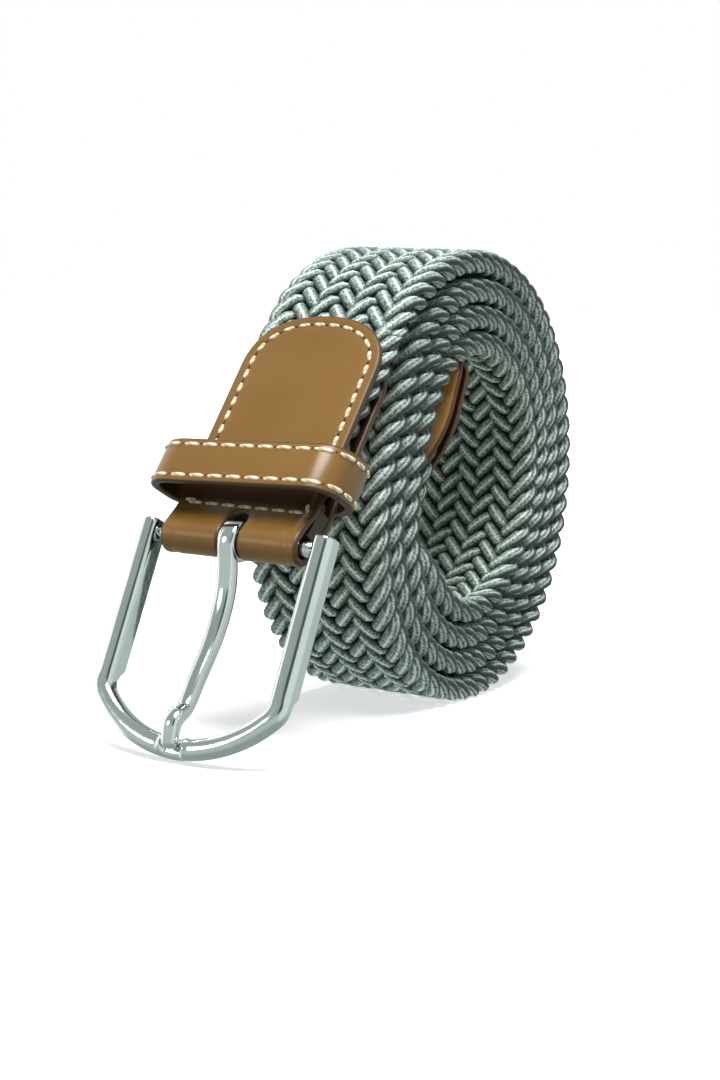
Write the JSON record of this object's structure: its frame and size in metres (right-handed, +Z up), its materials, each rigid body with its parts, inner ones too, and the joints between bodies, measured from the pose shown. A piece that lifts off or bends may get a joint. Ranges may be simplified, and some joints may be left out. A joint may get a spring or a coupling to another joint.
{
  "type": "braided stretch belt",
  "caption": "Flat braided elastic belt rolled into a coil, with stitched leather tab, keeper loop and tip, and a U-shaped metal buckle with a curved prong.",
  "frame": {"origin": "middle of the ground under the rolled belt, halfway across its width", "axes": "+Z up, +Y across the belt's width, -X towards the hanging buckle, with the turns of the roll in the XZ plane"},
  "size_m": [0.1454, 0.046, 0.102],
  "materials": {
    "braid": "matt braided cords with a pale sheen on each ridge",
    "leather": "smooth brown, satin, dark painted edges",
    "bright_metal": "polished nickel plate"
  },
  "bodies": {
    "strap": {"braided_webbing": "braid", "leather_tab": "leather", "keeper_loop": "leather", "leather_tip": "leather"},
    "frame": {"buckle_frame": "bright_metal"},
    "prong": {"buckle_prong": "bright_metal"}
  },
  "joints": [
    {"name": "frame_hinge", "type": "hinge", "parent": "strap", "child": "frame", "pos_m": [-0.05026, 0, 0.04165], "axis": [0, 1, 0], "range_deg": [-40, 45]},
    {"name": "prong_hinge", "type": "hinge", "parent": "frame", "child": "prong", "pos_m": [-0.05026, 0, 0.04165], "axis": [0, 1, 0], "range_deg": [0, 90]}
  ]
}
